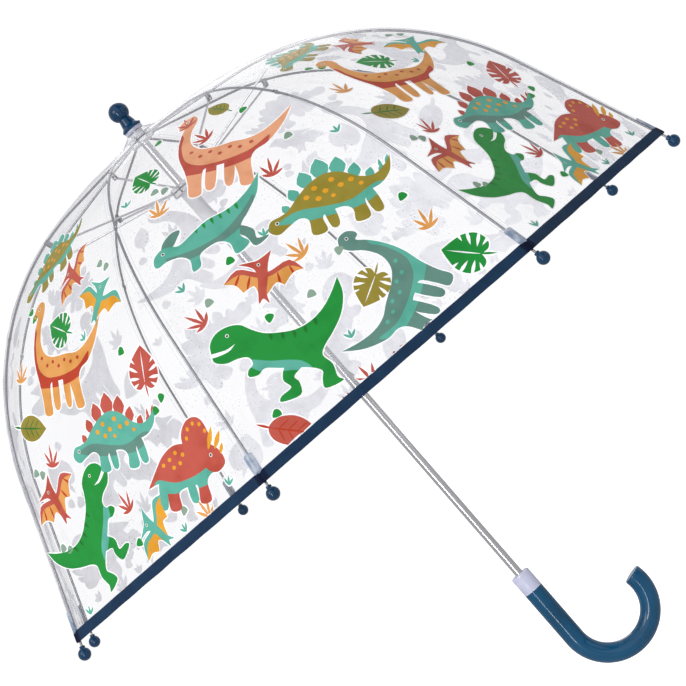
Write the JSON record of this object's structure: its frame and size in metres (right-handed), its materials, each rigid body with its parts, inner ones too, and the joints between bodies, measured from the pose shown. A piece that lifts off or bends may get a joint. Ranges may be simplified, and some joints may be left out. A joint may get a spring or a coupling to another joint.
{
  "type": "children's umbrella",
  "caption": "Clear dome umbrella for a child, with a printed animal and leaf pattern, navy trim, chrome shaft and a blue crook handle; it folds along the shaft.",
  "frame": {"origin": "on the shaft's axis, halfway along the straight grip of the handle", "axes": "+Z along the shaft towards the ferrule, +X towards the mouth of the crook"},
  "size_m": [0.7112, 0.7112, 0.6912],
  "materials": {
    "chrome_shaft": "bright plated steel tube",
    "blue_handle": "high gloss moulded plastic",
    "lavender_collar": "satin moulded plastic",
    "navy_plastic": "high gloss moulded plastic",
    "clear_washer": "milky clear plastic",
    "clear_film": "clear soft film",
    "white_plastic": "moulded plastic",
    "steel_wire": "spring steel",
    "steel_rib": "plated spring steel",
    "hem_binding": "woven polyester tape",
    "print_ink": "screen-printed ink on clear film",
    "seam_tab": "welded film patch"
  },
  "bodies": {
    "root": {"shaft_tube": "chrome_shaft", "handle_crook": "blue_handle", "handle_collar": "lavender_collar", "ferrule": "navy_plastic", "canopy_washer": "clear_washer", "canopy_cap": "clear_film", "top_notch": "white_plastic", "top_notch_wire": "steel_wire"},
    "runner": {"runner": "white_plastic", "runner_wire": "steel_wire"},
    "top_catch": {"top_catch": "steel_wire"},
    "bottom_catch": {"bottom_catch": "steel_wire"},
    "rib_1": {"rib_1": "steel_rib"},
    "lower_rib_1": {"lower_rib_1": "steel_rib", "rib_tip_1": "navy_plastic"},
    "stretcher_1": {"stretcher_1": "steel_rib"},
    "gore_1": {"gore_1": "clear_film"},
    "lower_gore_1": {"lower_gore_1": "clear_film"},
    "rib_2": {"rib_2": "steel_rib"},
    "lower_rib_2": {"lower_rib_2": "steel_rib", "rib_tip_2": "navy_plastic"},
    "stretcher_2": {"stretcher_2": "steel_rib"},
    "gore_2": {"gore_2": "clear_film"},
    "lower_gore_2": {"lower_gore_2": "clear_film"},
    "rib_3": {"rib_3": "steel_rib"},
    "lower_rib_3": {"lower_rib_3": "steel_rib", "rib_tip_3": "navy_plastic"},
    "stretcher_3": {"stretcher_3": "steel_rib"},
    "gore_3": {"gore_3": "clear_film"},
    "lower_gore_3": {"lower_gore_3": "clear_film"},
    "rib_4": {"rib_4": "steel_rib"},
    "lower_rib_4": {"lower_rib_4": "steel_rib", "rib_tip_4": "navy_plastic"},
    "stretcher_4": {"stretcher_4": "steel_rib"},
    "gore_4": {"gore_4": "clear_film"},
    "lower_gore_4": {"lower_gore_4": "clear_film"},
    "rib_5": {"rib_5": "steel_rib"},
    "lower_rib_5": {"lower_rib_5": "steel_rib", "rib_tip_5": "navy_plastic"},
    "stretcher_5": {"stretcher_5": "steel_rib"},
    "gore_5": {"gore_5": "clear_film"},
    "lower_gore_5": {"lower_gore_5": "clear_film"},
    "rib_6": {"rib_6": "steel_rib"},
    "lower_rib_6": {"lower_rib_6": "steel_rib", "rib_tip_6": "navy_plastic"},
    "stretcher_6": {"stretcher_6": "steel_rib"},
    "gore_6": {"gore_6": "clear_film"},
    "lower_gore_6": {"lower_gore_6": "clear_film"},
    "rib_7": {"rib_7": "steel_rib"},
    "lower_rib_7": {"lower_rib_7": "steel_rib", "rib_tip_7": "navy_plastic"},
    "stretcher_7": {"stretcher_7": "steel_rib"},
    "gore_7": {"gore_7": "clear_film"},
    "lower_gore_7": {"lower_gore_7": "clear_film"},
    "rib_8": {"rib_8": "steel_rib"},
    "lower_rib_8": {"lower_rib_8": "steel_rib", "rib_tip_8": "navy_plastic"},
    "stretcher_8": {"stretcher_8": "steel_rib"},
    "gore_8": {"gore_8": "clear_film"},
    "lower_gore_8": {"lower_gore_8": "clear_film"}
  },
  "joints": [
    {"name": "rib_1_fold", "type": "hinge", "parent": "root", "child": "rib_1", "pos_m": [-0.00866, -0.005, 0.5728], "axis": [0.5, -0.866, 0], "range_deg": [0, 70]},
    {"name": "rib_1_flex", "type": "hinge", "parent": "rib_1", "child": "lower_rib_1", "pos_m": [-0.1973, -0.11391, 0.50089], "axis": [0.5, -0.866, 0], "range_deg": [-42.15, 0.5]},
    {"name": "stretcher_1_pivot", "type": "hinge", "parent": "rib_1", "child": "stretcher_1", "pos_m": [-0.12035, -0.06949, 0.54348], "axis": [0.5, -0.866, 0], "range_deg": [-141, 1]},
    {"name": "gore_1_fold", "type": "hinge", "parent": "root", "child": "gore_1", "pos_m": [-0.00562, -0.00733, 0.5728], "axis": [0.7934, -0.6088, 0], "range_deg": [-0.5, 69.5], "deforming": ["gore_1"]},
    {"name": "gore_1_flex", "type": "hinge", "parent": "gore_1", "child": "lower_gore_1", "pos_m": [-0.1289, -0.16799, 0.50254], "axis": [0.7934, -0.6088, 0], "range_deg": [-43.54, 0.5], "deforming": ["lower_gore_1"]},
    {"name": "rib_2_fold", "type": "hinge", "parent": "root", "child": "rib_2", "pos_m": [-0.00259, -0.00966, 0.5728], "axis": [0.9659, -0.2588, 0], "range_deg": [-0.5, 70.5]},
    {"name": "rib_2_flex", "type": "hinge", "parent": "rib_2", "child": "lower_rib_2", "pos_m": [-0.05896, -0.22006, 0.50089], "axis": [0.9659, -0.2588, 0], "range_deg": [-42.15, 0.5]},
    {"name": "stretcher_2_pivot", "type": "hinge", "parent": "rib_2", "child": "stretcher_2", "pos_m": [-0.03597, -0.13424, 0.54348], "axis": [0.9659, -0.2588, 0], "range_deg": [-141, 1]},
    {"name": "gore_2_fold", "type": "hinge", "parent": "root", "child": "gore_2", "pos_m": [0.00121, -0.00916, 0.5728], "axis": [0.9914, 0.1305, 0], "range_deg": [-0.5, 69.5], "deforming": ["gore_2"]},
    {"name": "gore_2_flex", "type": "hinge", "parent": "gore_2", "child": "lower_gore_2", "pos_m": [0.02764, -0.20993, 0.50254], "axis": [0.9914, 0.1305, 0], "range_deg": [-43.54, 0.5], "deforming": ["lower_gore_2"]},
    {"name": "rib_3_fold", "type": "hinge", "parent": "root", "child": "rib_3", "pos_m": [0.005, -0.00866, 0.5728], "axis": [0.866, 0.5, 0], "range_deg": [-0.5, 70.5]},
    {"name": "rib_3_flex", "type": "hinge", "parent": "rib_3", "child": "lower_rib_3", "pos_m": [0.11391, -0.1973, 0.50089], "axis": [0.866, 0.5, 0], "range_deg": [-42.15, 0.5]},
    {"name": "stretcher_3_pivot", "type": "hinge", "parent": "rib_3", "child": "stretcher_3", "pos_m": [0.06949, -0.12035, 0.54348], "axis": [0.866, 0.5, 0], "range_deg": [-141, 1]},
    {"name": "gore_3_fold", "type": "hinge", "parent": "root", "child": "gore_3", "pos_m": [0.00733, -0.00562, 0.5728], "axis": [0.6088, 0.7934, 0], "range_deg": [-0.5, 69.5], "deforming": ["gore_3"]},
    {"name": "gore_3_flex", "type": "hinge", "parent": "gore_3", "child": "lower_gore_3", "pos_m": [0.16799, -0.1289, 0.50254], "axis": [0.6088, 0.7934, 0], "range_deg": [-43.54, 0.5], "deforming": ["lower_gore_3"]},
    {"name": "rib_4_fold", "type": "hinge", "parent": "root", "child": "rib_4", "pos_m": [0.00966, -0.00259, 0.5728], "axis": [0.2588, 0.9659, 0], "range_deg": [-0.5, 70.5]},
    {"name": "rib_4_flex", "type": "hinge", "parent": "rib_4", "child": "lower_rib_4", "pos_m": [0.22006, -0.05896, 0.50089], "axis": [0.2588, 0.9659, 0], "range_deg": [-42.15, 0.5]},
    {"name": "stretcher_4_pivot", "type": "hinge", "parent": "rib_4", "child": "stretcher_4", "pos_m": [0.13424, -0.03597, 0.54348], "axis": [0.2588, 0.9659, 0], "range_deg": [-141, 1]},
    {"name": "gore_4_fold", "type": "hinge", "parent": "root", "child": "gore_4", "pos_m": [0.00916, 0.00121, 0.5728], "axis": [-0.1305, 0.9914, 0], "range_deg": [-0.5, 69.5], "deforming": ["gore_4"]},
    {"name": "gore_4_flex", "type": "hinge", "parent": "gore_4", "child": "lower_gore_4", "pos_m": [0.20993, 0.02764, 0.50254], "axis": [-0.1305, 0.9914, 0], "range_deg": [-43.54, 0.5], "deforming": ["lower_gore_4"]},
    {"name": "rib_5_fold", "type": "hinge", "parent": "root", "child": "rib_5", "pos_m": [0.00866, 0.005, 0.5728], "axis": [-0.5, 0.866, 0], "range_deg": [-0.5, 70.5]},
    {"name": "rib_5_flex", "type": "hinge", "parent": "rib_5", "child": "lower_rib_5", "pos_m": [0.1973, 0.11391, 0.50089], "axis": [-0.5, 0.866, 0], "range_deg": [-42.15, 0.5]},
    {"name": "stretcher_5_pivot", "type": "hinge", "parent": "rib_5", "child": "stretcher_5", "pos_m": [0.12035, 0.06949, 0.54348], "axis": [-0.5, 0.866, 0], "range_deg": [-141, 1]},
    {"name": "gore_5_fold", "type": "hinge", "parent": "root", "child": "gore_5", "pos_m": [0.00562, 0.00733, 0.5728], "axis": [-0.7934, 0.6088, 0], "range_deg": [-0.5, 69.5], "deforming": ["gore_5"]},
    {"name": "gore_5_flex", "type": "hinge", "parent": "gore_5", "child": "lower_gore_5", "pos_m": [0.1289, 0.16799, 0.50254], "axis": [-0.7934, 0.6088, 0], "range_deg": [-43.54, 0.5], "deforming": ["lower_gore_5"]},
    {"name": "rib_6_fold", "type": "hinge", "parent": "root", "child": "rib_6", "pos_m": [0.00259, 0.00966, 0.5728], "axis": [-0.9659, 0.2588, 0], "range_deg": [-0.5, 70.5]},
    {"name": "rib_6_flex", "type": "hinge", "parent": "rib_6", "child": "lower_rib_6", "pos_m": [0.05896, 0.22006, 0.50089], "axis": [-0.9659, 0.2588, 0], "range_deg": [-42.15, 0.5]},
    {"name": "stretcher_6_pivot", "type": "hinge", "parent": "rib_6", "child": "stretcher_6", "pos_m": [0.03597, 0.13424, 0.54348], "axis": [-0.9659, 0.2588, 0], "range_deg": [-141, 1]},
    {"name": "gore_6_fold", "type": "hinge", "parent": "root", "child": "gore_6", "pos_m": [-0.00121, 0.00916, 0.5728], "axis": [-0.9914, -0.1305, 0], "range_deg": [-0.5, 69.5], "deforming": ["gore_6"]},
    {"name": "gore_6_flex", "type": "hinge", "parent": "gore_6", "child": "lower_gore_6", "pos_m": [-0.02764, 0.20993, 0.50254], "axis": [-0.9914, -0.1305, 0], "range_deg": [-43.54, 0.5], "deforming": ["lower_gore_6"]},
    {"name": "rib_7_fold", "type": "hinge", "parent": "root", "child": "rib_7", "pos_m": [-0.005, 0.00866, 0.5728], "axis": [-0.866, -0.5, 0], "range_deg": [-0.5, 70.5]},
    {"name": "rib_7_flex", "type": "hinge", "parent": "rib_7", "child": "lower_rib_7", "pos_m": [-0.11391, 0.1973, 0.50089], "axis": [-0.866, -0.5, 0], "range_deg": [-42.15, 0.5]},
    {"name": "stretcher_7_pivot", "type": "hinge", "parent": "rib_7", "child": "stretcher_7", "pos_m": [-0.06949, 0.12035, 0.54348], "axis": [-0.866, -0.5, 0], "range_deg": [-141, 1]},
    {"name": "gore_7_fold", "type": "hinge", "parent": "root", "child": "gore_7", "pos_m": [-0.00733, 0.00562, 0.5728], "axis": [-0.6088, -0.7934, 0], "range_deg": [-0.5, 69.5], "deforming": ["gore_7"]},
    {"name": "gore_7_flex", "type": "hinge", "parent": "gore_7", "child": "lower_gore_7", "pos_m": [-0.16799, 0.1289, 0.50254], "axis": [-0.6088, -0.7934, 0], "range_deg": [-43.54, 0.5], "deforming": ["lower_gore_7"]},
    {"name": "rib_8_fold", "type": "hinge", "parent": "root", "child": "rib_8", "pos_m": [-0.00966, 0.00259, 0.5728], "axis": [-0.2588, -0.9659, 0], "range_deg": [-0.5, 70.5]},
    {"name": "rib_8_flex", "type": "hinge", "parent": "rib_8", "child": "lower_rib_8", "pos_m": [-0.22006, 0.05896, 0.50089], "axis": [-0.2588, -0.9659, 0], "range_deg": [-42.15, 0.5]},
    {"name": "stretcher_8_pivot", "type": "hinge", "parent": "rib_8", "child": "stretcher_8", "pos_m": [-0.13424, 0.03597, 0.54348], "axis": [-0.2588, -0.9659, 0], "range_deg": [-141, 1]},
    {"name": "gore_8_fold", "type": "hinge", "parent": "root", "child": "gore_8", "pos_m": [-0.00916, -0.00121, 0.5728], "axis": [0.1305, -0.9914, 0], "range_deg": [-0.5, 69.5], "deforming": ["gore_8"]},
    {"name": "gore_8_flex", "type": "hinge", "parent": "gore_8", "child": "lower_gore_8", "pos_m": [-0.20993, -0.02764, 0.50254], "axis": [0.1305, -0.9914, 0], "range_deg": [-43.54, 0.5], "deforming": ["lower_gore_8"]},
    {"name": "runner_pivot", "type": "hinge", "parent": "stretcher_1", "child": "runner", "pos_m": [-0.00866, -0.005, 0.51417], "axis": [0.5, -0.866, 0], "range_deg": [-1, 71]},
    {"name": "top_catch_press", "type": "slide", "parent": "root", "child": "top_catch", "axis": [-0.9914, -0.1305, 0], "range_m": [0, 0.0016], "stiffness_N_per_m": 800, "springref_m": -0.001},
    {"name": "bottom_catch_press", "type": "slide", "parent": "root", "child": "bottom_catch", "axis": [-0.9914, -0.1305, 0], "range_m": [0, 0.0016], "stiffness_N_per_m": 800, "springref_m": -0.001}
  ],
  "couplings": [
    {"joint": "rib_1_flex", "follows": "rib_1_fold", "ratio": -0.59502},
    {"joint": "stretcher_1_pivot", "follows": "rib_1_fold", "ratio": -2},
    {"joint": "gore_1_fold", "follows": "rib_1_fold", "ratio": 0.98571},
    {"joint": "gore_1_flex", "follows": "rib_1_fold", "ratio": -0.61487},
    {"joint": "rib_2_fold", "follows": "rib_1_fold", "ratio": 1},
    {"joint": "rib_2_flex", "follows": "rib_1_fold", "ratio": -0.59502},
    {"joint": "stretcher_2_pivot", "follows": "rib_1_fold", "ratio": -2},
    {"joint": "gore_2_fold", "follows": "rib_1_fold", "ratio": 0.98571},
    {"joint": "gore_2_flex", "follows": "rib_1_fold", "ratio": -0.61487},
    {"joint": "rib_3_fold", "follows": "rib_1_fold", "ratio": 1},
    {"joint": "rib_3_flex", "follows": "rib_1_fold", "ratio": -0.59502},
    {"joint": "stretcher_3_pivot", "follows": "rib_1_fold", "ratio": -2},
    {"joint": "gore_3_fold", "follows": "rib_1_fold", "ratio": 0.98571},
    {"joint": "gore_3_flex", "follows": "rib_1_fold", "ratio": -0.61487},
    {"joint": "rib_4_fold", "follows": "rib_1_fold", "ratio": 1},
    {"joint": "rib_4_flex", "follows": "rib_1_fold", "ratio": -0.59502},
    {"joint": "stretcher_4_pivot", "follows": "rib_1_fold", "ratio": -2},
    {"joint": "gore_4_fold", "follows": "rib_1_fold", "ratio": 0.98571},
    {"joint": "gore_4_flex", "follows": "rib_1_fold", "ratio": -0.61487},
    {"joint": "rib_5_fold", "follows": "rib_1_fold", "ratio": 1},
    {"joint": "rib_5_flex", "follows": "rib_1_fold", "ratio": -0.59502},
    {"joint": "stretcher_5_pivot", "follows": "rib_1_fold", "ratio": -2},
    {"joint": "gore_5_fold", "follows": "rib_1_fold", "ratio": 0.98571},
    {"joint": "gore_5_flex", "follows": "rib_1_fold", "ratio": -0.61487},
    {"joint": "rib_6_fold", "follows": "rib_1_fold", "ratio": 1},
    {"joint": "rib_6_flex", "follows": "rib_1_fold", "ratio": -0.59502},
    {"joint": "stretcher_6_pivot", "follows": "rib_1_fold", "ratio": -2},
    {"joint": "gore_6_fold", "follows": "rib_1_fold", "ratio": 0.98571},
    {"joint": "gore_6_flex", "follows": "rib_1_fold", "ratio": -0.61487},
    {"joint": "rib_7_fold", "follows": "rib_1_fold", "ratio": 1},
    {"joint": "rib_7_flex", "follows": "rib_1_fold", "ratio": -0.59502},
    {"joint": "stretcher_7_pivot", "follows": "rib_1_fold", "ratio": -2},
    {"joint": "gore_7_fold", "follows": "rib_1_fold", "ratio": 0.98571},
    {"joint": "gore_7_flex", "follows": "rib_1_fold", "ratio": -0.61487},
    {"joint": "rib_8_fold", "follows": "rib_1_fold", "ratio": 1},
    {"joint": "rib_8_flex", "follows": "rib_1_fold", "ratio": -0.59502},
    {"joint": "stretcher_8_pivot", "follows": "rib_1_fold", "ratio": -2},
    {"joint": "gore_8_fold", "follows": "rib_1_fold", "ratio": 0.98571},
    {"joint": "gore_8_flex", "follows": "rib_1_fold", "ratio": -0.61487},
    {"joint": "runner_pivot", "follows": "rib_1_fold", "ratio": 1}
  ]
}
